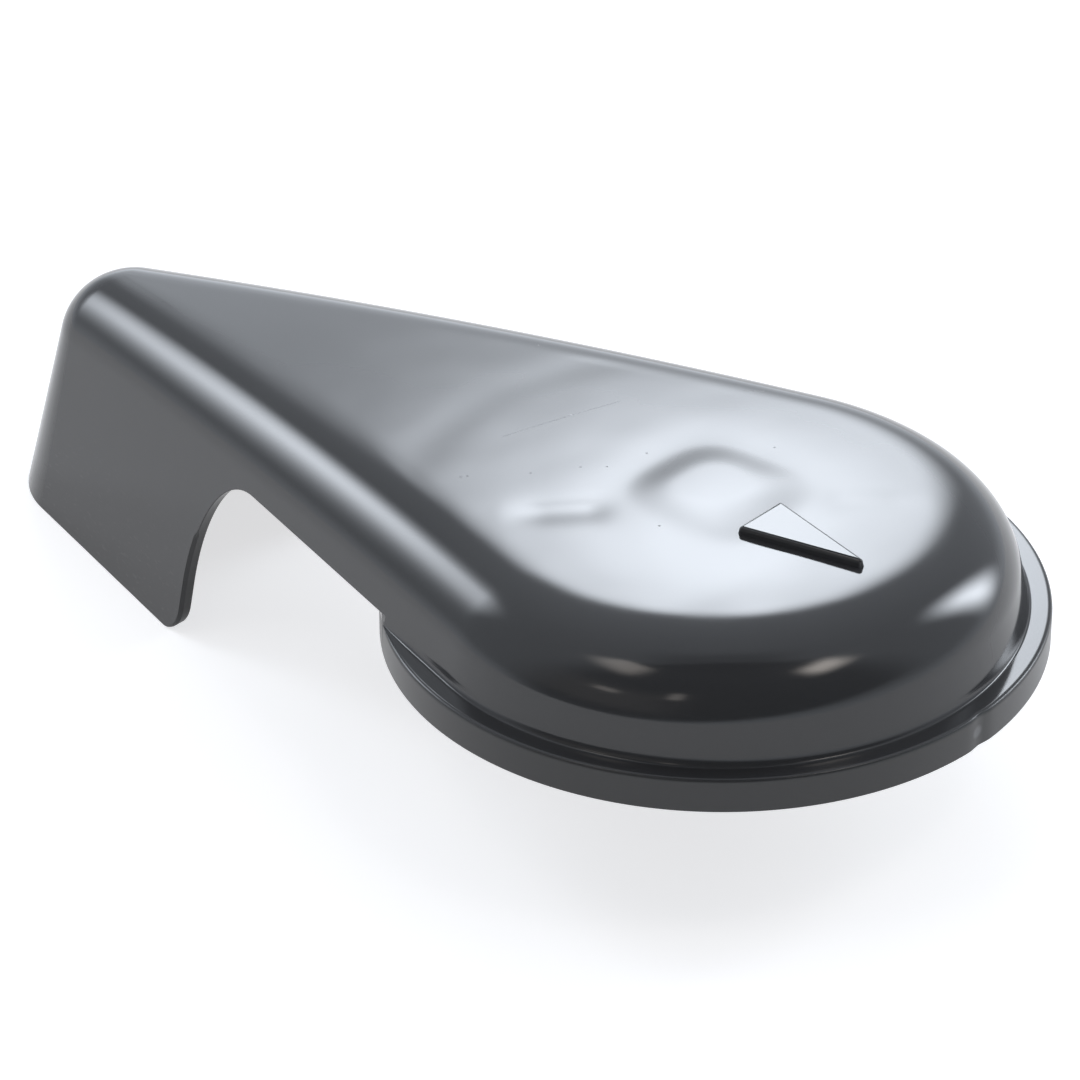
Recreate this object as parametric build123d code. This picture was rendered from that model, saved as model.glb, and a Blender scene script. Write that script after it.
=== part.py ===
from build123d import *
from math import asin, cos, degrees, radians, sin, sqrt, tan
import os

# Handle of a diverter valve: one hollow plastic moulding, open underneath.
# The origin is the centre of the flange's underside, on the axis of the valve's stem.
# Z points up and the lever points along +X. Lengths are in millimetres and angles in degrees.

# Round end and its flange
FLANGE_DIA = 75.0
FLANGE_HEIGHT = 4.1
FLANGE_BEVEL = 0.5
BODY_DIA = 69.8  # outside of the wall where it meets the flange

# Outside form: the walls lean inwards by the draft as they rise
LEVER_REACH = 91.9  # stem axis to the centre of the round tip
TIP_DIA = 19.4  # at the level of the flange's underside
DRAFT = 13.4
WALL = 1.7

# Crown: the top, curved along the lever and across it
CROWN_TOP = 15.6
CROWN_ALONG_RADIUS = 950.0
CROWN_ACROSS_RADIUS = 400.0
CROWN_SHIFT = 6.3  # highest point of the crown, behind the stem axis
CROWN_ROUND = 8.6  # rounding between the crown and the walls
INSIDE_BEVEL = 4.0  # bevel between the inside of the crown and the walls

# Lever's open underside and the skirt that hangs from the tip
LEVER_UNDERSIDE = 5.1
SKIRT_DEPTH = 17.6
SKIRT_START = 62.7  # stem axis to the skirt's inner edge
SKIRT_CORNER_ROUND = 3.2
BEND_LENGTH = 11.0  # elliptical bend from the lever's underside into the skirt's inner edge
BEND_DROP = 16.5

# Socket for the stem, with ribs that tie it to the round wall
SOCKET_SIZE = 12.7
SOCKET_WALL = 2.2
SOCKET_ROUND = 0.8
SOCKET_RECESS = 1.0
RIB_THICKNESS = 1.6
RIB_RECESS = 3.0
RIB_TURNS = (45.0, 135.0)  # each rib runs through two opposite corners of the socket

# Raised pointer on the crown, opposite the lever
POINTER_BASE = 5.8  # stem axis to the pointer's base
POINTER_LENGTH = 15.4
POINTER_WIDTH = 7.2
POINTER_RISE = 0.7  # above the top of the crown, at the base
POINTER_TIP_RISE = 1.0
POINTER_ROUND = 0.3

SLOPE = tan(radians(DRAFT))
FLANGE_RADIUS = FLANGE_DIA / 2
BELOW = SKIRT_DEPTH + WALL  # depth of cutting tools, past the skirt


def teardrop(round_radius, tip_radius):
    """Face bounded by the round end, the round tip and their two common tangents."""
    lean = asin((round_radius - tip_radius) / LEVER_REACH)
    left = Vector(sin(lean), cos(lean))
    right = Vector(sin(lean), -cos(lean))
    tip = Vector(LEVER_REACH, 0)
    out = Line(right * round_radius, tip + right * tip_radius)
    home = Line(tip + left * tip_radius, left * round_radius)
    nose = ThreePointArc(out @ 1, (LEVER_REACH + tip_radius, 0), home @ 0)
    back = ThreePointArc(home @ 1, (-round_radius, 0), out @ 0)
    return make_face([out, nose, home, back])


def below_crown(top):
    """Block under the crown: an arc across the lever, swung about an axis far below it."""
    sag = CROWN_ACROSS_RADIUS - sqrt(CROWN_ACROSS_RADIUS**2 - FLANGE_DIA**2)
    arc = ThreePointArc((-FLANGE_DIA, top - sag), (0, top), (FLANGE_DIA, top - sag))
    rest = Polyline(arc @ 1, (FLANGE_DIA, -BELOW), (-FLANGE_DIA, -BELOW), arc @ 0)
    section = Plane.YZ * make_face([arc, rest])
    axis = Axis((0, 0, top - CROWN_ALONG_RADIUS), (0, 1, 0))
    half_swing = degrees(asin(2 * FLANGE_DIA / CROWN_ALONG_RADIUS))
    block = revolve(section.rotate(axis, -half_swing), axis, 2 * half_swing)
    return Pos(-CROWN_SHIFT, 0, 0) * block


def crowned_form(inset):
    """Solid teardrop under the crown, with its walls and its crown moved in by the inset."""
    trim = inset / cos(radians(DRAFT))
    round_radius = BODY_DIA / 2 + (FLANGE_HEIGHT + SKIRT_DEPTH) * SLOPE - trim
    tip_radius = TIP_DIA / 2 + SKIRT_DEPTH * SLOPE - trim
    base = Pos(0, 0, -SKIRT_DEPTH) * teardrop(round_radius, tip_radius)
    column = extrude(base, SKIRT_DEPTH + CROWN_TOP, taper=DRAFT)
    return column & below_crown(CROWN_TOP - inset)


def crown_edges(form):
    """Edges where the crown of a form meets its walls."""
    return form.faces().sort_by(Axis.Z)[-1].edges()


def rounded_form():
    """Outside of the handle, with its crown rounded into the walls."""
    form = crowned_form(0)
    return fillet(crown_edges(form), CROWN_ROUND)


def bevelled_form(inset):
    """Form inside the walls, with a bevel between its crown and its sides."""
    form = crowned_form(inset)
    return chamfer(crown_edges(form), INSIDE_BEVEL)


def upright(radius, top):
    """Cylinder about the stem axis, standing on the level of the flange's underside."""
    return extrude(Circle(radius), top)


def side_cut():
    """Space below the lever, from behind the flange to the skirt's curved inner edge."""
    bend_start = SKIRT_START - BEND_LENGTH
    bend_end = LEVER_UNDERSIDE - BEND_DROP
    corner_top = SKIRT_CORNER_ROUND - SKIRT_DEPTH
    corner_end = SKIRT_START + SKIRT_CORNER_ROUND
    ceiling = Line((-FLANGE_DIA, LEVER_UNDERSIDE), (bend_start, LEVER_UNDERSIDE))
    bend = EllipticalCenterArc((bend_start, bend_end), BEND_LENGTH, BEND_DROP, arc_size=90)
    edge = Line(bend @ 0, (SKIRT_START, corner_top))
    corner = RadiusArc(edge @ 1, (corner_end, -SKIRT_DEPTH), -SKIRT_CORNER_ROUND)
    rest = Polyline(corner @ 1, (corner_end, -BELOW), (-FLANGE_DIA, -BELOW), ceiling @ 0)
    profile = Plane.XZ * make_face([ceiling, bend, edge, corner, rest])
    return extrude(profile, FLANGE_DIA, both=True) - upright(FLANGE_RADIUS, LEVER_UNDERSIDE)


def flange():
    """Round disc at the foot of the round end, before it is hollowed."""
    disc = upright(FLANGE_RADIUS, FLANGE_HEIGHT)
    return chamfer(disc.edges().group_by(Axis.Z)[-1], FLANGE_BEVEL)


def stem_socket():
    """Square tube for the stem, with ribs through its corners that reach the round wall."""
    outside = SOCKET_SIZE + 2 * SOCKET_WALL
    tube = extrude(
        Pos(0, 0, SOCKET_RECESS) * RectangleRounded(outside, outside, SOCKET_ROUND),
        CROWN_TOP - SOCKET_RECESS,
    )
    rib = extrude(
        Pos(0, 0, RIB_RECESS) * Rectangle(FLANGE_DIA, RIB_THICKNESS),
        CROWN_TOP - RIB_RECESS,
    )
    ribs = [Rot(Z=turn) * rib for turn in RIB_TURNS]
    hole = extrude(Rectangle(SOCKET_SIZE, SOCKET_SIZE), CROWN_TOP)
    return (tube + ribs - hole) & upright(FLANGE_RADIUS - WALL / 2, CROWN_TOP)


def partition():
    """Arc of wall above the flange's rim, which closes the round end off from the lever."""
    return upright(FLANGE_RADIUS, CROWN_TOP) - upright(FLANGE_RADIUS - WALL, CROWN_TOP)


def pointer():
    """Raised triangle, pointing away from the lever and a little higher at its tip."""
    base = -POINTER_BASE
    tip = base - POINTER_LENGTH
    half = POINTER_WIDTH / 2
    outline = make_face(Polyline((base, -half), (base, half), (tip, 0), close=True))
    outline = fillet(outline.vertices(), POINTER_ROUND)
    root = CROWN_TOP - WALL / 2
    base_top = CROWN_TOP + POINTER_RISE
    tip_top = CROWN_TOP + POINTER_TIP_RISE
    side = make_face(Polyline((base, root), (base, base_top), (tip, tip_top), (tip, root), close=True))
    return extrude(outline, tip_top) & extrude(Plane.XZ * side, POINTER_WIDTH, both=True)


outer = rounded_form()
inner = bevelled_form(WALL)
shell = outer - inner - side_cut()
inside = (stem_socket() + partition()) & bevelled_form(WALL / 2)
handle = shell + (flange() - inner) + inside + pointer()

os.makedirs("parts", exist_ok=True)
export_step(handle, "parts/diverter_handle.step")
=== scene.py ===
# %% [markdown]
# # Handle of a diverter valve
# The real handle is one hollow moulding of dark glossy plastic: a round end with a flange that
# turns on the valve, and a lever whose tip hangs down as a skirt for the finger. Nothing on it moves.
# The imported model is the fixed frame: it gives the size and the place, and the mesh made here
# stands for its only node. Lengths are in metres, with Z up and the lever along +X.

# %% Load the frame
import math

import bmesh
import bpy
import numpy as np
from mathutils import Matrix, Vector, noise


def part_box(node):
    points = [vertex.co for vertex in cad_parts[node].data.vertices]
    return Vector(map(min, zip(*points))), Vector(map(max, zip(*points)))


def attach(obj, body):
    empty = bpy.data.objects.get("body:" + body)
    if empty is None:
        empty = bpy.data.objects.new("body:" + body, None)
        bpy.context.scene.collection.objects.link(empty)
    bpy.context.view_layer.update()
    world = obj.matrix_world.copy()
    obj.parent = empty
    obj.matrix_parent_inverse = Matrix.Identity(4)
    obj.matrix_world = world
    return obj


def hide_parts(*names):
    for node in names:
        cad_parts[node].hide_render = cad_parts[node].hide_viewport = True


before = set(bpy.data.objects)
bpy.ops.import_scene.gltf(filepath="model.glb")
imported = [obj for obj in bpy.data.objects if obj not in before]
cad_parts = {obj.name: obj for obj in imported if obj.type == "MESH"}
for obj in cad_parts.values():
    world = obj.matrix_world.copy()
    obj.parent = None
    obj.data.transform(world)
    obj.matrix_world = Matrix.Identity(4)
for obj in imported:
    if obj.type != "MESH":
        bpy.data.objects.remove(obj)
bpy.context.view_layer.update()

NODE = "diverter_handle"
low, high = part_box(NODE)
print("handle from", tuple(low), "to", tuple(high))

# %% [markdown]
# ## Sizes
# The box of the model gives the outer sizes. The others are written in millimetres and turned
# into metres, because a moulding of this kind is drawn in millimetres. The walls lean inwards
# by the draft, which lets the real part leave its mould.

# %% Sizes of the moulding
MM = 0.001
FLANGE_RADIUS = high.y
SKIRT_DEPTH = -low.z
POINTER_TOP = high.z
LEVER_REACH = 91.9 * MM  # stem axis to the centre of the round tip
FLANGE_HEIGHT = 4.1 * MM
DRAFT = math.radians(13.4)
SLOPE = math.tan(DRAFT)
ROUND_BASE = 34.9 * MM + FLANGE_HEIGHT * SLOPE  # outside radius at the flange's underside
TIP_BASE = high.x - LEVER_REACH - SKIRT_DEPTH * SLOPE
WALL = 1.7 * MM
LEAN = math.asin((ROUND_BASE - TIP_BASE) / LEVER_REACH)  # of the lever's sides, seen from above
WALL_NORMAL = np.array((math.sin(LEAN), math.cos(LEAN)))
print("lever narrows by", round(2 * math.degrees(LEAN), 1), "degrees")

# %% [markdown]
# ## Crown
# The top is curved gently along the lever and a little more across it, which makes it a patch of a
# very large ring. A sculpted grid could follow it, but a gloss surface shows the smallest error in
# its reflections, so the height and the direction of the surface come from the ring's formula.

# %% Height and direction of the crown
CROWN_TOP = 15.6 * MM
ALONG_RADIUS = 950 * MM
ACROSS_RADIUS = 400 * MM
CROWN_SHIFT = 6.3 * MM  # highest point, behind the stem axis


def unit(vectors):
    """Vectors of length 1, or 0 where there is none."""
    length = np.linalg.norm(vectors, axis=-1, keepdims=True)
    return vectors / np.maximum(length, 1e-12)


def crown_height(x, y, depth):
    """Height of the surface that lies the given depth below the crown."""
    swing = ALONG_RADIUS - ACROSS_RADIUS + np.sqrt((ACROSS_RADIUS - depth) ** 2 - y**2)
    return CROWN_TOP - ALONG_RADIUS + np.sqrt(swing**2 - (x + CROWN_SHIFT) ** 2)


def crown_normal(x, y, z):
    """Unit vectors that point straight out of the crown."""
    out_x = x + CROWN_SHIFT
    out_z = z - CROWN_TOP + ALONG_RADIUS
    ring = (ALONG_RADIUS - ACROSS_RADIUS) / np.hypot(out_x, out_z)
    return unit(np.stack((out_x * (1 - ring), y, out_z * (1 - ring)), axis=-1))


crown_drop = CROWN_TOP - crown_height(LEVER_REACH, 0.0, 0.0)
print("crown falls by", round(crown_drop / MM, 2), "mm to the tip")

# %% [markdown]
# ## Marks of the inside
# As a moulding cools, the plastic shrinks, and the crown takes the print of what is behind it. Over the
# square socket it has stayed up, and round it the thinner wall has sagged by a fifth of a millimetre. The
# thick roots of the ribs and of the wall across the lever have drawn the face in. A normal map could
# fake this, but these are real waves in the face, so they go into the mesh.

# %% Waves in the crown
SOCKET_SIZE = 12.7 * MM
SOCKET_WALL = 2.2 * MM
SOCKET_LINE = (SOCKET_SIZE + SOCKET_WALL) / 2  # stem axis to the middle of the socket's wall
RIB_END = FLANGE_RADIUS - WALL / 2
SOFT_SIDE = math.radians(129)  # the plastic has shrunk more evenly towards this side
HELD_UP = 0.18 * MM  # height of the raised field over the socket
FIELD_SLOPE = 2.3 * MM  # half of the distance over which the field falls
FIELD_SOFTER = 1.0  # share by which it falls more slowly on its soft side
FIELD_SOFT_SIDE = math.radians(150)
FIELD_ROUND = 3.0  # power that rounds the corners of the field
FIELD_SHRINK = 0.8 * MM  # the field ends inside the middle of the socket's wall
FIELD_X, FIELD_Y = 2.2 * MM, -2.5 * MM
TROUGH = 0.05 * MM  # sag round the foot of the field
TROUGH_WIDTH = 3.6 * MM
RIB_SINK = 0.12 * MM
RIB_SINK_WIDTH = 2.5 * MM
RIB_SINK_START, RIB_SINK_END = 14.3 * MM, 24.5 * MM
RIB_SINK_FADE = 5.5 * MM
FAR_RIB_SHARE = 0.4  # the rib away from the lever has sunk less
PARTITION_SINK = 0.036 * MM
PARTITION_SINK_WIDTH = 3.3 * MM
PARTITION_LINE = 35.3 * MM
RIPPLE = 0.015 * MM  # slow unevenness of the whole face
RIPPLE_SIZE = 6.5 * MM


def smooth(value):
    """Eases a value from 0 to 1 at both ends."""
    value = np.clip(value, 0, 1)
    return value * value * (3 - 2 * value)


def groove(distance, width):
    """1 in the middle of a mark, fading to 0 at its sides."""
    return np.exp(-((distance / width) ** 2))


def ripple(x, y):
    """Slow noise between about -1 and 1."""
    return np.vectorize(lambda a, b: noise.noise((a / RIPPLE_SIZE, b / RIPPLE_SIZE, 0.0)))(x, y)


def waves(x, y):
    """How far the face lies above the true crown."""
    across, along = x - FIELD_X, y - FIELD_Y
    past = (np.abs(across) ** FIELD_ROUND + np.abs(along) ** FIELD_ROUND) ** (1 / FIELD_ROUND)
    past = past - SOCKET_LINE + FIELD_SHRINK
    soft_side = (1 + np.cos(np.arctan2(along, across) - FIELD_SOFT_SIDE)) / 2
    slope = FIELD_SLOPE * (1 + FIELD_SOFTER * soft_side**2)
    field = HELD_UP * (1 - smooth((past + slope) / (2 * slope)))
    field = field - TROUGH * groove(past - slope, TROUGH_WIDTH)
    radius = np.hypot(x, y)
    lever_side = np.clip(x / SOCKET_LINE, 0, 1)
    rib_line = np.hypot((x - y) / math.sqrt(2), np.maximum(0, RIB_SINK_START - radius))
    rib = groove(rib_line, RIB_SINK_WIDTH) * smooth((RIB_SINK_END - radius) / RIB_SINK_FADE)
    rib = rib * (FAR_RIB_SHARE + (1 - FAR_RIB_SHARE) * lever_side)
    partition = groove(radius - PARTITION_LINE, PARTITION_SINK_WIDTH) * lever_side
    return field - RIB_SINK * rib - PARTITION_SINK * partition + RIPPLE * ripple(x, y)


print("crown stays up by", HELD_UP / MM, "mm over the socket")

# %% [markdown]
# ## Stations round the outline
# Seen from above, the handle is the outline of a circle that slides along the lever and shrinks on
# its way. Each station holds the circle's centre, its radius and the direction outwards. One cross
# section per station, joined to its neighbours, then makes clean strips of faces with no cuts.

# %% Lower edge of the lever's sides
LEVER_UNDERSIDE = 5.1 * MM
SKIRT_START = 62.7 * MM
BEND_LENGTH = 11.0 * MM
BEND_DROP = 16.5 * MM
SKIRT_CORNER = 3.2 * MM
EDGE_STEP = 0.55 * MM
LEDGE_END = 0.08 * MM  # width at which the ledge of the flange runs out against the lever


def side_distance(inset):
    """Distance of the lever's side from the stem axis at the flange's underside."""
    return ROUND_BASE - inset / math.cos(DRAFT)


def side_y(x, z, inset):
    """Half width of the lever at a place along it and a height."""
    return (side_distance(inset) - z * SLOPE - WALL_NORMAL[0] * x) / WALL_NORMAL[1]


def exit_share():
    """Share of the lever's length at which its side leaves the flange."""
    side = ROUND_BASE - FLANGE_HEIGHT * SLOPE
    run = math.sqrt((FLANGE_RADIUS - LEDGE_END) ** 2 - side**2)
    return run / (LEVER_REACH * math.cos(LEAN))


def lower_edge():
    """Points (x, z) of the lever's lower edge, from the flange to the round tip."""
    first = EXIT * LEVER_REACH + (ROUND_BASE + EXIT * (TIP_BASE - ROUND_BASE)
                                  - LEVER_UNDERSIDE * SLOPE) * WALL_NORMAL[0]
    last = LEVER_REACH + (TIP_BASE + SKIRT_DEPTH * SLOPE) * WALL_NORMAL[0]
    bend_start = SKIRT_START - BEND_LENGTH
    bend_end = LEVER_UNDERSIDE - BEND_DROP
    corner_x = SKIRT_START + SKIRT_CORNER
    corner_z = SKIRT_CORNER - SKIRT_DEPTH
    turn = np.linspace(0, math.pi / 2, 60)
    x = np.concatenate((
        [first], bend_start + BEND_LENGTH * np.sin(turn),
        corner_x - SKIRT_CORNER * np.cos(turn), [last],
    ))
    z = np.concatenate((
        [LEVER_UNDERSIDE], bend_end + BEND_DROP * np.cos(turn),
        corner_z - SKIRT_CORNER * np.sin(turn), [-SKIRT_DEPTH],
    ))
    run = np.concatenate(([0], np.cumsum(np.hypot(np.diff(x), np.diff(z)))))
    even = np.linspace(0, run[-1], int(run[-1] / EDGE_STEP) + 1)
    return np.interp(even, run, x), np.interp(even, run, z), even / run[-1]


EXIT = exit_share()
edge_x, edge_z, edge_run = lower_edge()
print(len(edge_x), "points along the lower edge, the lever leaves the flange at", round(EXIT, 3))

# %% Stations
ROUND_STEPS = 190
FLANGE_SIDE_STEPS = 22
TIP_STEPS = 64


def wall_shares():
    """Shares of the lever's length of the stations along one side."""
    along = (edge_x - edge_x[0]) / (edge_x[-1] - edge_x[0])
    beside_flange = np.linspace(0, EXIT, FLANGE_SIDE_STEPS + 1)[:-1]
    return np.concatenate((beside_flange, EXIT + (1 - EXIT) * (along + edge_run) / 2))


shares = wall_shares()
SIDE_STEPS = len(shares) - 1
round_turn = np.linspace(math.pi / 2 - LEAN, 1.5 * math.pi + LEAN, ROUND_STEPS + 1)[:-1]
tip_turn = np.linspace(LEAN - math.pi / 2, math.pi / 2 - LEAN, TIP_STEPS + 1)[:-1]
side_turn = np.full(SIDE_STEPS, math.pi / 2 - LEAN)
turn = np.concatenate((round_turn, -side_turn, tip_turn, side_turn))
spine = np.concatenate((
    np.zeros(ROUND_STEPS, int), np.arange(SIDE_STEPS),
    np.full(TIP_STEPS, SIDE_STEPS), np.arange(SIDE_STEPS, 0, -1),
))
share = shares[spine]
centre_x = share * LEVER_REACH
base_radius = ROUND_BASE + share * (TIP_BASE - ROUND_BASE)
outward = np.stack((np.cos(turn), np.sin(turn)), axis=-1)
by_flange = spine <= FLANGE_SIDE_STEPS
on_lever = spine >= FLANGE_SIDE_STEPS
STATIONS = len(spine)
print(STATIONS, "stations,", by_flange.sum(), "of them beside the flange")

# %% [markdown]
# ## Skins
# The crown rounds into the walls as if a ball had rolled along inside the corner. The ball touches the
# wall and the crown, and the arc between the two places is the rounding. A Bevel modifier would round
# a modelled edge too, but it knows nothing of the true wall beyond, and its strips show in a gloss.

# %% Rolling ball and the skins of the wall
CROWN_ROUND = 8.6 * MM
EASE_LEAST = 1.7 * MM  # the rounding starts softly, over this distance to each side of its start
EASE_MOST = 4.9 * MM  # on the soft side, where the plastic has shrunk more evenly
BALL_PASSES = 8  # each pass brings the ball nearer to the place where it touches both
wall_out = np.column_stack((outward * math.cos(DRAFT), np.full(STATIONS, math.sin(DRAFT))))


def ball_centres():
    """Centres of the ball that rolls inside the corner of the crown and the walls."""
    z = np.full(STATIONS, CROWN_TOP - CROWN_ROUND)
    for _ in range(BALL_PASSES):
        reach = base_radius - z * SLOPE - CROWN_ROUND / math.cos(DRAFT)
        x = centre_x + reach * outward[:, 0]
        y = reach * outward[:, 1]
        z = crown_height(x, y, CROWN_ROUND)
    return np.column_stack((x, y, z))


ball = ball_centres()
crown_out = crown_normal(ball[:, 0], ball[:, 1], ball[:, 2])
crown_edge = ball + CROWN_ROUND * crown_out
crown_reach = np.hypot(crown_edge[:, 0] - centre_x, crown_edge[:, 1])
wanted = EASE_LEAST + (EASE_MOST - EASE_LEAST) * (1 + np.cos(turn - SOFT_SIDE)) / 2
EASE = wanted * crown_reach / np.hypot(wanted, crown_reach)  # less where the crown is narrow


def eased(run, end):
    """How far the face lies inside the sharp start of the arc, at a distance past that start."""
    before = np.clip(run + EASE, 0, 2 * EASE) ** 3 / (12 * EASE * CROWN_ROUND)
    after = np.clip(run, 0, EASE) ** 2 / (2 * CROWN_ROUND)
    return (before - after) * (1 - smooth((run - EASE) / (end - EASE)))


def rounding(inset, steps):
    """Rows of points from the crown to the wall, in an arc about the ball's centre."""
    angle = np.arccos(np.clip((crown_out * wall_out).sum(axis=1), -1, 1))[:, None]
    radius = CROWN_ROUND - inset
    rows = []
    for part in np.linspace(0, 1, steps + 1):
        toward = np.sin((1 - part) * angle) * crown_out + np.sin(part * angle) * wall_out
        length = angle[:, 0] * CROWN_ROUND
        depth = eased(part * length, length)[:, None]
        rows.append(ball + (radius - depth) * toward / np.sin(angle))
    return rows


MARK_FADE = 0.12  # share of the crown's width over which the marks fade at its edge


def crown_rows(inset, edge, steps, marked):
    """Rows of points from the middle line of the crown to its edge."""
    rows = []
    for part in np.linspace(0, 1, steps + 1)[:-1]:
        x = centre_x + part * (edge[:, 0] - centre_x)
        y = part * edge[:, 1]
        reach = np.hypot(edge[:, 0] - centre_x, edge[:, 1])
        z = crown_height(x, y, inset) - eased((part - 1) * reach, np.inf)
        if marked:
            z = z + waves(x, y) * smooth((1 - part) / MARK_FADE)
        rows.append(np.column_stack((x, y, z)))
    return rows


def skin(inset, crown_steps, round_steps, marked=False):
    """Rows of points from the middle line, over the crown and down to the wall."""
    arc = rounding(inset, round_steps)
    return crown_rows(inset, arc[0], crown_steps, marked) + arc


outer_rows = skin(0, crown_steps=56, round_steps=34, marked=True)
inner_rows = skin(WALL, crown_steps=14, round_steps=8)
print(len(outer_rows), "rows outside and", len(inner_rows), "inside")

# %% [markdown]
# ## Lower rim
# Beside the flange a section runs down the wall, out over the ledge, round the flange and back to the
# inside. Along the lever it only turns round the thickness of the wall. Each corner is a short curve,
# because the edges of a moulding are never quite sharp, and a small round edge catches the light.

# %% Corners
FOOT_TALL = 1.15 * MM  # hollow corner between the wall and the ledge
FOOT_WIDE = 0.40 * MM
FOOT_LEAST = 0.35  # share of it on the far side
RIM_ROUND = 0.50 * MM
EDGE_ROUND = 0.14 * MM
CORNER_STEPS = 6
BESIDE_CORNER = (0.05, 0.95)  # rows that keep the faces between two corners flat in the gloss


def between(first, last, grades):
    """Rows of points on straight lines between two rows."""
    return [first + grade * (last - first) for grade in grades]


def joined(corners):
    """Rows of all the corners, with rows on the flat faces between them."""
    rows = corners[0]
    for before, after in zip(corners, corners[1:]):
        rows = rows + between(before[-1], after[0], BESIDE_CORNER) + after
    return rows


def corner(before, at, after):
    """Points of a short curve that rounds the corner at a point."""
    return [
        (1 - part) ** 2 * before + 2 * part * (1 - part) * at + part**2 * after
        for part in np.linspace(0, 1, CORNER_STEPS + 1)
    ]


NICK_TURN = math.pi  # the flange's rim has a nick straight behind the stem
NICK_DEPTH = 0.22 * MM
NICK_WIDTH = 1.0 * MM


def choose(where, yes, no):
    """Points of one row where a test holds, and of another where it doesn't."""
    return np.where(where[:, None], yes, no)


def in_section(distance, height):
    """Points at a distance from the stations' centres and a height."""
    height = np.broadcast_to(height, (STATIONS,))
    return np.column_stack((
        centre_x + distance * outward[:, 0], distance * outward[:, 1], height,
    ))


def flange_chain():
    """Points down from the wall, round the flange and up to the inside of the wall."""
    across = centre_x * outward[:, 0]
    inside_rim = np.maximum(across**2 - centre_x**2 + FLANGE_RADIUS**2, 0)
    rim = -across + np.sqrt(inside_rim)
    rim = rim - NICK_DEPTH * groove((turn - NICK_TURN) * FLANGE_RADIUS, NICK_WIDTH)
    foot = base_radius - FLANGE_HEIGHT * SLOPE
    inner = base_radius - WALL / math.cos(DRAFT)
    room = np.clip((rim - foot) / (FOOT_TALL + RIM_ROUND), 0, 1)
    hollow = room * (FOOT_LEAST + (1 - FOOT_LEAST) * (1 + np.cos(turn - SOFT_SIDE)) ** 2 / 4)
    tall = FOOT_TALL * hollow
    edge = RIM_ROUND * room
    up = FLANGE_HEIGHT
    return joined([
        corner(
            in_section(foot - tall * SLOPE, up + tall), in_section(foot, up),
            in_section(foot + FOOT_WIDE * hollow, up),
        ),
        corner(in_section(rim - edge, up), in_section(rim, up), in_section(rim, up - edge)),
        corner(in_section(rim, EDGE_ROUND), in_section(rim, 0), in_section(rim - EDGE_ROUND, 0)),
        corner(
            in_section(inner + EDGE_ROUND, 0), in_section(inner, 0),
            in_section(inner - EDGE_ROUND * SLOPE, EDGE_ROUND),
        ),
    ])


TRIM_TOP = -4.0 * MM  # below this the skirt's edge was trimmed with a knife, on one side
TRIM_STEP = 0.6 * MM
TRIM_OUT = 0.45 * MM
TRIM_IN = 0.5 * MM


def on_side(x, z, inset):
    """Points on the lever's sides, on the side that each station is on."""
    return np.column_stack((x, side_y(x, z, inset) * np.sign(outward[:, 1]), z))


def lever_chain():
    """Points from the outside to the inside of the wall, round the lever's lower edge."""
    point = np.clip(spine - FLANGE_SIDE_STEPS, 0, None)
    x, z = edge_x[point], edge_z[point]
    past_bend = np.abs(x - SKIRT_START + BEND_LENGTH)
    past_corner = np.abs(x - SKIRT_START - SKIRT_CORNER)
    level = np.minimum(past_bend, past_corner)
    curved = (x > SKIRT_START - BEND_LENGTH) & (x < SKIRT_START + SKIRT_CORNER)
    slant = np.where(curved, 0, smooth(level / BEND_LENGTH))
    trim = WALL / math.cos(DRAFT)
    outside = on_side(x, z, 0)
    inside = on_side(x - slant * trim * outward[:, 0], z, WALL)
    on_tip = spine == SIDE_STEPS
    skirt = base_radius + SKIRT_DEPTH * SLOPE
    outside[on_tip] = in_section(skirt, -SKIRT_DEPTH)[on_tip]
    inside[on_tip] = in_section(skirt - trim, -SKIRT_DEPTH)[on_tip]
    along = np.roll(outside, -1, axis=0) - np.roll(outside, 1, axis=0)
    up = unit(np.cross(wall_out, along))
    across = unit(inside - outside)
    trimmed = smooth((TRIM_TOP - z) / TRIM_STEP) * (1 - smooth((x - SKIRT_START) / SKIRT_CORNER))
    trimmed = (trimmed * (outward[:, 1] > 0) * ~on_tip)[:, None]
    start = outside + (EDGE_ROUND + (TRIM_OUT - EDGE_ROUND) * trimmed) * up
    end = outside + (EDGE_ROUND + (TRIM_IN - EDGE_ROUND) * trimmed) * across
    return joined([
        corner(start, outside + trimmed * ((start + end) / 2 - outside), end),
        corner(inside - EDGE_ROUND * across, inside, inside + EDGE_ROUND * up),
    ])


flange_rim = flange_chain()
lever_rim = lever_chain()
print(len(flange_rim), "points round the flange and", len(lever_rim), "round the lever's edge")

# %% [markdown]
# ## Shell
# The rows become one closed mesh. Beside the flange and along the lever the rims have different numbers
# of points, so the two kinds of section are joined by one flat cap on each side, where the lever leaves
# the flange.

# %% Mesh helpers
def new_object(name, points, faces):
    """Object with a mesh of the given points and faces, all facing outwards."""
    mesh = bpy.data.meshes.new(name)
    mesh.from_pydata([tuple(p) for p in points], [], faces)
    work = bmesh.new()
    work.from_mesh(mesh)
    bmesh.ops.recalc_face_normals(work, faces=work.faces)
    work.to_mesh(mesh)
    work.free()
    piece = bpy.data.objects.new(name, mesh)
    bpy.context.scene.collection.objects.link(piece)
    return piece


def open_edges(piece):
    """Number of edges that don't lie between exactly two faces."""
    work = bmesh.new()
    work.from_mesh(piece.data)
    count = sum(len(edge.link_faces) != 2 for edge in work.edges)
    work.free()
    return count


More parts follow.
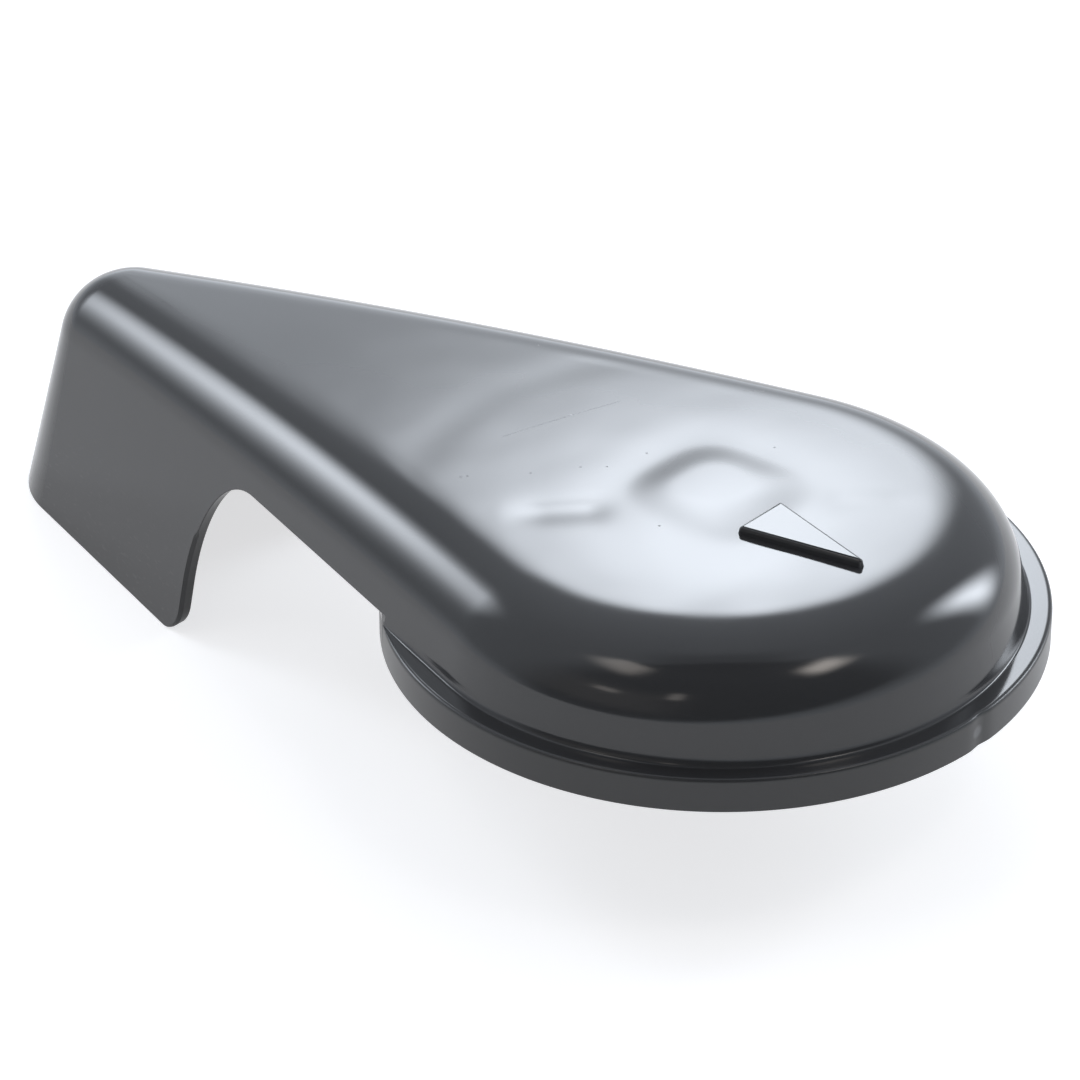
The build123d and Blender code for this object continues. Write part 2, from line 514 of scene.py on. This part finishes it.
class PointStore:
    """Collects points, and gives each row of stations the numbers of its points."""

    def __init__(self):
        self.points = []

    def row(self, row, keep=None, shared=None):
        """Numbers of a row's points: -1 where none is kept, and one number for equal shared values."""
        numbers = np.full(STATIONS, -1)
        for station in range(STATIONS):
            if keep is not None and not keep[station]:
                continue
            if shared is not None and shared[station] in shared[:station]:
                numbers[station] = numbers[list(shared).index(shared[station])]
                continue
            numbers[station] = len(self.points)
            self.points.append(row[station])
        return numbers


def strips(rows, keep):
    """Faces between neighbouring rows, at the stations that are kept."""
    faces = []
    for upper, lower in zip(rows, rows[1:]):
        for here in range(STATIONS):
            there = (here + 1) % STATIONS
            if not (keep[here] and keep[there]):
                continue
            corners = [upper[here], lower[here], lower[there], upper[there]]
            faces.append(tuple(dict.fromkeys(corners)))
    return faces


print("mesh helpers ready")

# %% Shell
# shares of the wall's height, finer near the crown and near the foot
WALL_GRADES = (0.04, 0.1, 0.2, 0.35, 0.55, 0.8, 0.95, 0.99)
INNER_GRADES = (0.25, 0.5, 0.75)
everywhere = np.ones(STATIONS, bool)


def build_shell():
    """Closed mesh of the outside, the inside and the rims between them."""
    outer_end = choose(on_lever, lever_rim[0], flange_rim[0])
    inner_end = choose(on_lever, lever_rim[-1], flange_rim[-1])
    outer = outer_rows + between(outer_rows[-1], outer_end, WALL_GRADES) + [outer_end]
    inner = inner_rows + between(inner_rows[-1], inner_end, INNER_GRADES) + [inner_end]
    store = PointStore()
    outer = [store.row(outer[0], shared=spine)] + [store.row(row) for row in outer[1:]]
    inner = [store.row(inner[0], shared=spine)] + [store.row(row) for row in inner[1:]]
    faces = strips(outer, everywhere) + strips(inner, everywhere)
    chains = []
    for rim, keep in ((flange_rim, by_flange), (lever_rim, on_lever)):
        chain = [outer[-1]] + [store.row(row, keep) for row in rim[1:-1]] + [inner[-1]]
        faces += strips(chain, keep)
        chains.append(chain)
    for station in np.flatnonzero(by_flange & on_lever):
        round_side = [row[station] for row in chains[0]]
        lever_side = [row[station] for row in chains[1]]
        faces.append(tuple(round_side + lever_side[-2:0:-1]))
    return new_object("handle", store.points, faces)


handle = build_shell()
print("shell:", len(handle.data.polygons), "faces,", open_edges(handle), "open edges")

# %% [markdown]
# ## Inside
# Under the round end a square socket takes the valve's stem. Four ribs tie it to the wall, and an arc of
# wall closes the round end off from the lever. They are simple prisms, run into the shell's wall and
# joined to it by Boolean modifiers, which leave the outside as it is.

# %% Boolean helper and closed form
def combine(base, tool, operation, solver="MANIFOLD"):
    """Applies a Boolean modifier with a tool, then removes the tool."""
    modifier = base.modifiers.new(operation.lower(), "BOOLEAN")
    modifier.operation = operation
    modifier.solver = solver
    modifier.object = tool
    depsgraph = bpy.context.evaluated_depsgraph_get()
    result = bpy.data.meshes.new_from_object(base.evaluated_get(depsgraph))
    base.modifiers.clear()
    base.data = result
    bpy.data.objects.remove(tool)
    return base


def closed_form(inset, floor):
    """Solid inside of the handle, moved in by the inset, down to a level floor."""
    rows = skin(inset, crown_steps=10, round_steps=8)
    rows.append(in_section(base_radius - inset / math.cos(DRAFT) - floor * SLOPE, floor))
    store = PointStore()
    numbers = [store.row(rows[0], shared=spine)] + [store.row(row) for row in rows[1:]]
    faces = strips(numbers, everywhere) + [tuple(numbers[-1])]
    return new_object("closed_form", store.points, faces)


def prism(name, outline, bottom, top):
    """Upright prism on an outline."""
    count = len(outline)
    points = [(x, y, z) for z in (bottom, top) for x, y in outline]
    sides = [(i, (i + 1) % count, count + (i + 1) % count, count + i) for i in range(count)]
    ends = [tuple(range(count)), tuple(range(count, 2 * count))]
    return new_object(name, points, sides + ends)


print("Boolean helper ready")

# %% Socket, ribs and partition
SOCKET_RECESS = 1.0 * MM
RIB_THICKNESS = 1.6 * MM
RIB_RECESS = 3.0 * MM
PARTITION_INSET = 0.02 * MM  # keeps the partition's face just inside the flange's
PARTITION_STEPS = 60
RIB_TURNS = [math.radians(turn) for turn in (45, 135, 225, 315)]


def square(half):
    """Corners of a square about the stem axis, from half of its width."""
    return [(half, -half), (half, half), (-half, half), (-half, -half)]


def rib(turn):
    """One rib, from the corner of the socket to the round wall."""
    start = SOCKET_LINE * math.sqrt(2)
    half = RIB_THICKNESS / 2
    flat = [(start, -half), (RIB_END, -half), (RIB_END, half), (start, half)]
    c, s = math.cos(turn), math.sin(turn)
    return prism("rib", [(c * x - s * y, s * x + c * y) for x, y in flat], RIB_RECESS, CROWN_TOP)


def partition(top):
    """Arc of wall under the root of the lever, up to a level top."""
    outer = FLANGE_RADIUS - PARTITION_INSET
    inner = FLANGE_RADIUS - WALL
    angles = np.linspace(-math.pi / 2, math.pi / 2, PARTITION_STEPS + 1)
    outline = [(outer * math.cos(a), outer * math.sin(a)) for a in angles]
    outline += [(inner * math.cos(a), inner * math.sin(a)) for a in angles[::-1]]
    return prism("partition", outline, 0.0, top)


inside = prism("inside", square(SOCKET_SIZE / 2 + SOCKET_WALL), SOCKET_RECESS, CROWN_TOP)
for rib_turn in RIB_TURNS:
    combine(inside, rib(rib_turn), "UNION")
combine(inside, prism("hole", square(SOCKET_SIZE / 2), -CROWN_TOP, 2 * CROWN_TOP), "DIFFERENCE")
combine(inside, partition(CROWN_TOP), "UNION")
combine(inside, closed_form(WALL / 2, -WALL), "INTERSECT")
partition_foot = partition(LEVER_UNDERSIDE + EDGE_ROUND)
combine(partition_foot, closed_form(PARTITION_INSET, -WALL), "INTERSECT")
combine(inside, partition_foot, "UNION")
combine(handle, inside, "UNION", "EXACT")
print("with its inside:", len(handle.data.polygons), "faces,", open_edges(handle), "open edges")

# %% [markdown]
# ## Pointer
# A raised triangle on the crown points away from the lever and shows where the valve is turned. It is a
# prism with round corners and a softened top edge, sunk into the crown and joined to it.

# %% Pointer
POINTER_BASE = 5.8 * MM
POINTER_LENGTH = 15.7 * MM
POINTER_WIDTH = 7.4 * MM
POINTER_ASIDE = -0.35 * MM  # it was cut into the mould a little off the middle
POINTER_CORNER = 0.35 * MM
POINTER_WEAR = 0.12 * MM  # its top has worn a little
POINTER_FLARE = 0.3 * MM  # the foot is wider than the top
POINTER_EDGE = 0.4 * MM
BESIDE_EDGE = 0.04 * MM  # a last loop beside the edge keeps the top flat in the gloss
SHARP_ANGLE = math.radians(40)  # a larger bend between two faces shows as an edge
ARC_STEPS = 8
EDGE_STEPS = 4


def pointer_outline(inset):
    """Triangle with round corners, moved in by the inset."""
    tips = [
        Vector((-POINTER_BASE, POINTER_ASIDE - POINTER_WIDTH / 2)),
        Vector((-POINTER_BASE, POINTER_ASIDE + POINTER_WIDTH / 2)),
        Vector((-POINTER_BASE - POINTER_LENGTH, POINTER_ASIDE)),
    ]
    edges = [(tips[(number + 1) % 3] - tip).normalized() for number, tip in enumerate(tips)]
    outline = []
    for number, tip in enumerate(tips):
        into, away = edges[number - 1], edges[number]
        half = away.angle(-into) / 2
        middle = tip + (away - into).normalized() * POINTER_CORNER / math.sin(half)
        first = math.atan2(-into.x, into.y)
        for step in range(ARC_STEPS + 1):
            angle = first + (math.pi - 2 * half) * step / ARC_STEPS
            spoke = Vector((math.cos(angle), math.sin(angle)))
            outline.append(middle + spoke * (POINTER_CORNER - inset))
    return outline


def stack(name, loops):
    """Closed piece through a stack of loops with equal numbers of points."""
    count = len(loops[0])
    faces = [tuple(range(count)), tuple(range(count * (len(loops) - 1), count * len(loops)))]
    for level in range(len(loops) - 1):
        for i in range(count):
            j = (i + 1) % count
            here, above = level * count, (level + 1) * count
            faces.append((here + i, here + j, above + j, above + i))
    return new_object(name, [point for loop in loops for point in loop], faces)


def pointer():
    """Raised triangle with a softened top edge."""
    levels = [(-POINTER_FLARE, CROWN_TOP - WALL / 2)]
    for step in range(EDGE_STEPS + 1):
        angle = math.pi / 2 * step / EDGE_STEPS
        levels.append((
            POINTER_EDGE * (1 - math.cos(angle)),
            POINTER_TOP - POINTER_WEAR - POINTER_EDGE * (1 - math.sin(angle)),
        ))
    levels.append((POINTER_EDGE + BESIDE_EDGE, levels[-1][1]))
    return stack("pointer", [[(x, y, z) for x, y in pointer_outline(inset)] for inset, z in levels])


combine(handle, pointer(), "UNION", "EXACT")
handle.data.shade_smooth()
handle.data.set_sharp_from_angle(angle=SHARP_ANGLE)
print("with its pointer:", len(handle.data.polygons), "faces,", open_edges(handle), "open edges")

# %% [markdown]
# ## Writing shaders as sums
# A shader is a web of nodes. Small wrappers let it be written as plain sums: a wire is the output of a
# node, each operator between wires adds a Math node, and every other node comes from one method.

# %% Wires
class Wire:
    """Output of a node. An operator between wires or numbers adds a Math node."""

    def __init__(self, tree, socket=None):
        self.tree = tree
        self.socket = socket

    def node(self, kind, settings=None, sockets=None, output=0):
        """Adds a node: its settings are set first, then the values or links of its sockets."""
        made = self.tree.nodes.new(kind)
        for name, value in (settings or {}).items():
            setattr(made, name, value)
        for name, value in (sockets or {}).items():
            if isinstance(value, Wire):
                self.tree.links.new(value.socket, made.inputs[name])
            else:
                made.inputs[name].default_value = value
        return Wire(self.tree, made.outputs[output]) if made.outputs else made

    def math(self, operation, first, second=0.0):
        """Adds a Math node."""
        return self.node("ShaderNodeMath", {"operation": operation}, {0: first, 1: second})

    def __add__(self, other):
        return self.math("ADD", self, other)

    def __radd__(self, other):
        return self.math("ADD", other, self)

    def __sub__(self, other):
        return self.math("SUBTRACT", self, other)

    def __rsub__(self, other):
        return self.math("SUBTRACT", other, self)

    def __mul__(self, other):
        return self.math("MULTIPLY", self, other)

    def __rmul__(self, other):
        return self.math("MULTIPLY", other, self)

    def __truediv__(self, other):
        return self.math("DIVIDE", self, other)

    def ramp(self, start, end):
        """0 below the start and 1 above the end, eased between them."""
        return self.node(
            "ShaderNodeMapRange", {"interpolation_type": "SMOOTHSTEP"},
            {"Value": self, "From Min": start, "From Max": end},
        )


def new_material(name):
    """Empty material, and a wire to write its nodes with."""
    material = bpy.data.materials.new(name)
    material.use_nodes = True
    material.node_tree.nodes.clear()
    return material, Wire(material.node_tree)


print("wires ready")

# %% [markdown]
# ## Plastic
# The moulding is dark grey plastic with a polished face. Nearly all that shows is what it mirrors, so
# the base colour is very dark and the gloss does the work. A used handle is never evenly polished: the
# gloss changes slowly over the face, the rim and the cut edges are dull, and the skirt is scuffed where
# fingers and tools touch it. The cut edge and the flange's side are also painted darker, as painted
# shade.
# These are masks from the place on the handle, so they need no painted map.

# %% Places on the handle
class Places:
    """Places on the handle as wires, in metres, with masks of its worn parts and of its painted shade."""

    def __init__(self, web):
        self.web = web
        self.place = web.node("ShaderNodeTexCoord", output="Object")
        self.x, self.y, self.z = self.parts(self.place)
        normal = web.node("ShaderNodeTexCoord", output="Normal")
        self.facing = self.parts(normal)

    def parts(self, vector):
        """The three parts of a vector."""
        return [
            self.web.node("ShaderNodeSeparateXYZ", {}, {0: vector}, output=axis)
            for axis in range(3)
        ]

    def noise(self, scale, detail=3.0):
        """Cloudy noise between 0 and 1. The scale is the number of clouds to the metre on each axis."""
        stretched = self.web.node(
            "ShaderNodeVectorMath", {"operation": "MULTIPLY"}, {0: self.place, 1: scale},
        )
        return self.web.node(
            "ShaderNodeTexNoise", {}, {"Vector": stretched, "Scale": 1.0, "Detail": detail},
        )

    def toward(self, x, y):
        """Distance along a level direction."""
        return self.web.node(
            "ShaderNodeVectorMath", {"operation": "DOT_PRODUCT"}, {0: self.place, 1: (x, y, 0.0)},
            output="Value",
        )

    def rim(self):
        """1 on the flange's upper edge."""
        out = self.web.math("SQRT", self.x * self.x + self.y * self.y) - FLANGE_RADIUS
        up = self.z - FLANGE_HEIGHT
        gap = self.web.math("SQRT", out * out + up * up)
        return 1 - gap.ramp(0.4 * RIM_ROUND, 1.1 * RIM_ROUND)

    def flange_side(self):
        """1 on the outside of the flange, which is made duller and painted darker as painted shade."""
        out = self.web.math("SQRT", self.x * self.x + self.y * self.y)
        side = out.ramp(FLANGE_RADIUS - RIM_ROUND, FLANGE_RADIUS - 0.3 * RIM_ROUND)
        below_rim = 1 - self.z.ramp(FLANGE_HEIGHT - 0.5 * RIM_ROUND, FLANGE_HEIGHT)
        return side * below_rim * (1 - self.x.ramp(FLANGE_RADIUS, FLANGE_RADIUS + RIM_ROUND))

    def cut(self):
        """1 on the edge where the skirt was cut."""
        faces_back = (0 - self.facing[0]).ramp(0.3, 0.7)
        return faces_back * self.x.ramp(SKIRT_START - BEND_LENGTH, SKIRT_START)

    def scuffed(self):
        """1 at the foot of the skirt, fading upwards."""
        on_skirt = self.x.ramp(SKIRT_START - BEND_LENGTH, SKIRT_START)
        return on_skirt * (1 - self.z.ramp(-SKIRT_DEPTH, 0.0))


print("masks ready")

# %% [markdown]
# ## Specks and scratches
# The crown has a few specks of dirt, some bright nicks and two scratches. Each speck is a distance to a
# point and each scratch a distance to a line, softened into a mask. Dirt is dull, so it breaks the mirror
# image and looks dark in the bright part of the crown.

# %% Specks and scratches
SPECK = 0.20 * MM
SPECKS = (
    (16.7, 3.7), (14.5, 1.8), (20.2, 8.2), (39.9, -15.2), (13.1, -3.4), (3.3, -14.0),
    (1.8, 7.6), (25.8, 13.6), (25.4, 13.0),
)  # places on the crown in millimetres, here and in the next two
NICKS = ((25.4, -4.5),)
SCRATCHES = (((28.2, 4.3), (23.3, -10.7)), ((14.8, -21.8), (12.8, -23.8)))
SCRATCH_WIDTH = 0.06 * MM
SKIPS = (700, 700, 700)  # breaks in a scratch, to the metre
SCUFF = (-37.5 * MM, 0.4 * MM, 2.0 * MM)  # light scuff in the nick of the rim
SCUFF_SIZE = 1.0 * MM


def spot(places, centre, size):
    """1 within a round spot, 0 outside it."""
    gap = places.web.node(
        "ShaderNodeVectorMath", {"operation": "DISTANCE"}, {0: places.place, 1: centre},
        output="Value",
    )
    return 1 - gap.ramp(0.4 * size, size)


def crown_spots(places, centres, size):
    """Sum of the spots at places on the crown, in millimetres."""
    total = 0.0
    for x, y in centres:
        centre = (x * MM, y * MM, float(crown_height(x * MM, y * MM, 0.0)))
        total = total + spot(places, centre, size)
    return total


def scratch(places, start, end):
    """1 along a straight scratch on the crown, broken where the tool skipped."""
    start, end = Vector(start) * MM, Vector(end) * MM
    way = (end - start).normalized()
    along = (places.toward(way.x, way.y) - way.dot(start)) / (end - start).length
    aside = places.toward(-way.y, way.x) - way.orthogonal().dot(start)
    line = 1 - places.web.math("ABSOLUTE", aside).ramp(0.5 * SCRATCH_WIDTH, 1.5 * SCRATCH_WIDTH)
    ends = along.ramp(0.0, 0.03) * (1 - along.ramp(0.97, 1.0))
    on_crown = places.z.ramp(0.8 * CROWN_TOP, 0.85 * CROWN_TOP)
    return line * ends * on_crown * places.noise(SKIPS).ramp(0.25, 0.45)


print(len(SPECKS), "specks,", len(NICKS), "nicks and", len(SCRATCHES), "scratches")

# %% Plastic
PLASTIC_DARK = (0.034, 0.034, 0.036, 1.0)
PLASTIC_LIGHT = (0.042, 0.042, 0.044, 1.0)
# the next colour darkens the dirt, and also the cut edge and the flange's side as painted shade
DIRT_AND_SHADE_COLOUR = (0.015, 0.015, 0.015, 1.0)
NICK_COLOUR = (0.30, 0.30, 0.31, 1.0)
PLASTIC_IOR = 1.52
GLOSS = 0.10  # roughness of the polished faces
GLOSS_CHANGE = 0.05
DULL_EDGE = 0.30  # added roughness: of the cut edge
RIM_SHARE = 0.3  # share of it on the flange's rim
SIDE_DULL = 0.22  # of the flange's side
DIRT_DULL = 0.22
SCUFF_DULL = 0.10
PEEL = 0.0008 * MM  # height of the faint unevenness left by the mould
STREAK_DEPTH = 3.0  # depth of the streaks on the skirt, as a multiple of it
CLOUDS = (60, 60, 60)  # slow change of the gloss, to the metre on each axis
PEEL_GRAIN = (800, 800, 800)
STREAKS = (900, 900, 2600)  # drawn out level, as fingers rub
SCRATCH_DIRT = 0.9  # shares of dirt, of painted shade and of bright wear in the colour
SIDE_PAINTED_SHADE = 0.9
DIRT_AND_SHADE_SHARE = 0.55
NICK_SCUFF = 0.4
STREAK_SHARE = 0.06


def mixed(web, share, first, second):
    """Colour between two colours."""
    return web.node(
        "ShaderNodeMix", {"data_type": "RGBA"}, {0: share, 6: first, 7: second}, output=2,
    )


def plastic():
    """Dark glossy plastic with its dirt, its wear, its dull edges and painted shade on the cut edge and
    the flange's side.
    """
    material, web = new_material("dark_plastic")
    places = Places(web)
    cloud = places.noise(CLOUDS, 4.0)
    peel = places.noise(PEEL_GRAIN)
    streaks = places.noise(STREAKS).ramp(0.56, 0.76) * places.scuffed()
    dirt = crown_spots(places, SPECKS, SPECK)
    for start, end in SCRATCHES:
        dirt = dirt + SCRATCH_DIRT * scratch(places, start, end)
    nicks = crown_spots(places, NICKS, SPECK) + NICK_SCUFF * spot(places, SCUFF, SCUFF_SIZE)
    colour = mixed(web, cloud, PLASTIC_DARK, PLASTIC_LIGHT)
    # painted shade: the cut edge and the flange's side are painted darker, for the shade and the shadowed
    # table that they mirror
    painted_shade = web.math("MAXIMUM", places.cut(), SIDE_PAINTED_SHADE * places.flange_side())
    colour = mixed(web, web.math("MAXIMUM", dirt, painted_shade) * DIRT_AND_SHADE_SHARE, colour, DIRT_AND_SHADE_COLOUR)
    colour = mixed(web, nicks + STREAK_SHARE * streaks, colour, NICK_COLOUR)
    edges = web.math("MAXIMUM", RIM_SHARE * places.rim(), places.cut())
    rough = GLOSS + GLOSS_CHANGE * (cloud - 0.5) + DULL_EDGE * edges
    rough = rough + SIDE_DULL * places.flange_side() + DIRT_DULL * (dirt + nicks)
    rough = rough + SCUFF_DULL * (streaks + 0.5 * places.scuffed())
    bump = web.node("ShaderNodeBump", {}, {
        "Strength": 1.0, "Distance": PEEL, "Height": peel + STREAK_DEPTH * streaks,
    })
    shader = web.node("ShaderNodeBsdfPrincipled", {}, {
        "Base Color": colour, "Roughness": rough, "IOR": PLASTIC_IOR, "Normal": bump,
    })
    web.node("ShaderNodeOutputMaterial", {}, {"Surface": shader})
    return material


handle.data.materials.clear()
handle.data.materials.append(plastic())
print("material:", handle.data.materials[0].name)

# %% [markdown]
# ## Floor
# The handle stands on a white table that has no edge in the picture. A very bright lamp could burn the
# floor out to white, but it would burn the handle too. So the paint returns part of the light, and a
# glow that only the camera and mirror rays see makes up the rest. The soft shadow stays in the paint.

# %% Floor
FLOOR_SIZE = 8.0
FLOOR_PAINT = 0.62
FLOOR_GLOW = (0.68, 0.68, 0.69, 1.0)


def floor_paint():
    """White paint with a faint glow towards the camera and in mirrors."""
    material, web = new_material("white_table")
    camera_ray = web.node("ShaderNodeLightPath", output="Is Camera Ray")
    mirror_ray = web.node("ShaderNodeLightPath", output="Is Glossy Ray")
    through_ray = web.node("ShaderNodeLightPath", output="Is Transmission Ray")
    seen = web.math("MAXIMUM", web.math("MAXIMUM", camera_ray, mirror_ray), through_ray)
    paint = web.node("ShaderNodeBsdfDiffuse", {}, {"Color": (FLOOR_PAINT,) * 3 + (1.0,)})
    glow = web.node("ShaderNodeEmission", {}, {"Color": FLOOR_GLOW, "Strength": seen})
    both = web.node("ShaderNodeAddShader", {}, {0: paint, 1: glow})
    web.node("ShaderNodeOutputMaterial", {}, {"Surface": both})
    return material


floor = new_object("floor", [(x, y, low.z) for x, y in square(FLOOR_SIZE / 2)], [(0, 1, 2, 3)])
floor.data.materials.append(floor_paint())
print("floor at", round(low.z / MM, 2), "mm")

# %% [markdown]
# ## Light
# A glossy dark thing is lit by what it mirrors. Photographers put it in a tent of white cloth: soft walls
# all round, open only towards the camera, with lamps that make bright patches on the cloth. Area lamps
# would give hard-edged mirror images, so the tent is drawn into the world instead. Each patch is a window
# in two angles, the turn to the right of straight ahead and the height above the floor, with soft edges.

# %% The tent
AHEAD = math.radians(-48.2)  # direction away from the camera, seen from above
CLOTH = 0.65
CLOTH_LOW = 0.45  # extra light near the floor
LOW_END = 14.0  # height at which it has faded
OPEN_FROM, OPEN_TO = 94.0, 121.0  # turn at which the cloth ends and the dark room begins
OPEN_LOSS = 0.8
TABLE_EDGE = 12.0  # the pale table hides the foot of the room, more so on the right
TABLE_SOFT = 11.0  # height over which the room comes in above the table
ROOF_FROM, ROOF_TO, ROOF_LOSS = 72.0, 84.0, 0.5
CREST = 2.0  # rounds the middle of a patch, which would show as a line on the gloss


class Sky:
    """Directions in the world, as wires in degrees."""

    def __init__(self, tree):
        self.web = Wire(tree)
        self.way = self.web.node("ShaderNodeTexCoord", output="Generated")
        self.right = self.along(math.sin(AHEAD), -math.cos(AHEAD))
        ahead = self.along(math.cos(AHEAD), math.sin(AHEAD))
        up = self.web.node("ShaderNodeSeparateXYZ", {}, {0: self.way}, output=2)
        self.turn = self.degrees(self.web.math("ARCTAN2", self.right, ahead))
        self.height = self.degrees(self.web.math("ARCSINE", up))

    def along(self, x, y):
        """How far each direction points along a level one."""
        return self.web.node(
            "ShaderNodeVectorMath", {"operation": "DOT_PRODUCT"}, {0: self.way, 1: (x, y, 0.0)},
            output="Value",
        )

    def degrees(self, angle):
        """An angle in degrees."""
        return self.web.math("DEGREES", angle)

    def window(self, turn, half, soft, low, low_soft, high, high_soft, slant):
        """Patch of light: 1 inside its edges and 0 outside, with a soft change across each edge."""
        middle = (low + high) / 2
        aside = self.turn - turn - slant * (self.height - middle)
        aside = self.web.math("SQRT", aside * aside + CREST**2)
        across = 1 - aside.ramp(half - soft / 2, half + soft / 2)
        above = self.height.ramp(low - low_soft / 2, low + low_soft / 2)
        below = 1 - self.height.ramp(high - high_soft / 2, high + high_soft / 2)
        return across * above * below

    def cloth(self):
        """Plain brightness of the tent, with its open front."""
        light = CLOTH + CLOTH_LOW * (1 - self.height.ramp(0.0, LOW_END))
        front = self.web.math("ABSOLUTE", self.turn).ramp(OPEN_FROM, OPEN_TO)
        front = front * (self.height - TABLE_EDGE * self.right).ramp(0.0, TABLE_SOFT)
        roof = self.height.ramp(ROOF_FROM, ROOF_TO)
        return light * (1 - OPEN_LOSS * front) * (1 - ROOF_LOSS * roof)


print("tent open beyond", OPEN_FROM, "degrees to each side")

# %% Lamps behind the cloth and in the room
CLOTH_COLOUR = (0.94, 1.0, 1.08, 1.0)
ROOM_COLOUR = (1.08, 1.0, 0.93, 1.0)
# brightness, then the turn, half width and softness of each patch,
# its low edge and softness, its high edge and softness, and its slant
CLOTH_LAMPS = {
    "back": (15.8, 2.1, 3.8, 17.6, 25.4, 24.1, 37.9, 3.9, -0.52),
    "low back": (1.1, -1.8, 13.6, 16.4, -2.0, 4.0, 34.5, 6.0, 0.0),
    "left": (17.2, -51.5, 6.8, 22.8, 27.9, 41.8, 39.7, 15.5, 0.24),
    "right": (15.2, 59.0, 5.8, 16.5, 12.5, 24.0, 39.5, 21.0, 0.06),
}
ROOM_LAMPS = {
    "high left": (2.5, -111.0, 14.4, 14.4, 62.3, 7.2, 71.2, 3.5, 0.0),
    "high right": (5.7, 116.0, 12.4, 15.9, 59.0, 9.2, 67.3, 6.2, 0.0),
    "low left": (1.8, -160.5, 3.4, 4.1, 42.0, 3.6, 51.6, 5.0, 0.0),
    "wall left": (0.2, -136.0, 24.0, 30.0, 14.0, 16.0, 46.0, 14.0, 0.0),
    "side left": (1.5, -132.6, 5.1, 3.7, 37.8, 3.1, 43.0, 3.3, 0.0),
}


def studio():
    """World of soft light: the white tent, its lamps and the warm lamps of the room."""
    world = bpy.data.worlds.new("studio")
    world.use_nodes = True
    world.node_tree.nodes.clear()
    sky = Sky(world.node_tree)
    cool = sky.cloth()
    for bright, *edges in CLOTH_LAMPS.values():
        cool = cool + bright * sky.window(*edges)
    warm = 0.0
    for bright, *edges in ROOM_LAMPS.values():
        warm = warm + bright * sky.window(*edges)
    cool = sky.web.node("ShaderNodeBackground", {}, {"Color": CLOTH_COLOUR, "Strength": cool})
    warm = sky.web.node("ShaderNodeBackground", {}, {"Color": ROOM_COLOUR, "Strength": warm})
    both = sky.web.node("ShaderNodeAddShader", {}, {0: cool, 1: warm})
    sky.web.node("ShaderNodeOutputWorld", {}, {"Surface": both})
    return world


bpy.context.scene.world = studio()
print(len(CLOTH_LAMPS), "lamps behind the cloth and", len(ROOM_LAMPS), "in the room")

# %% [markdown]
# ## Camera
# Products are photographed with a long lens from a little way off, so that a round flange stays a
# clean ellipse. The camera looks down on the handle from behind the round end. A camera can be placed
# by hand until the picture fits, but two angles, a distance and the point that it aims past say the
# same in numbers that can be changed one at a time.

# %% Camera
CAMERA_AZIMUTH = math.radians(221.8)
CAMERA_ELEVATION = math.radians(31.68)
CAMERA_ROLL = math.radians(-0.155)
CAMERA_DISTANCE = 615.2 * MM
AIM_RIGHT = -19.5 * MM  # the camera's axis passes the origin on this side
AIM_UP = 9.28 * MM
SENSOR = 36.0
PICTURE = 1080  # width of the picture in pixels
FOCAL = 5500  # focal length in the same pixels
LENS = SENSOR * FOCAL / PICTURE


def place_camera():
    """Camera that looks at the handle from behind its round end."""
    camera = bpy.data.objects.new("camera", bpy.data.cameras.new("camera"))
    bpy.context.scene.collection.objects.link(camera)
    camera.data.sensor_width = SENSOR
    camera.data.lens = LENS
    turn = Matrix.Rotation(CAMERA_AZIMUTH, 4, "Z") @ Matrix.Rotation(
        math.pi / 2 - CAMERA_ELEVATION, 4, "X"
    )
    offset = turn @ Vector((AIM_RIGHT, AIM_UP, CAMERA_DISTANCE))
    camera.matrix_world = Matrix.Translation(offset) @ turn @ Matrix.Rotation(CAMERA_ROLL, 4, "Z")
    bpy.context.scene.camera = camera
    return camera


camera = place_camera()
bpy.context.scene.view_settings.view_transform = "Standard"
print("camera at", tuple(round(value, 4) for value in camera.location))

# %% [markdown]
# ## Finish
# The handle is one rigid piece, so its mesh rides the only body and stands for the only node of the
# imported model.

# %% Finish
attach(handle, "root")
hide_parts(NODE)
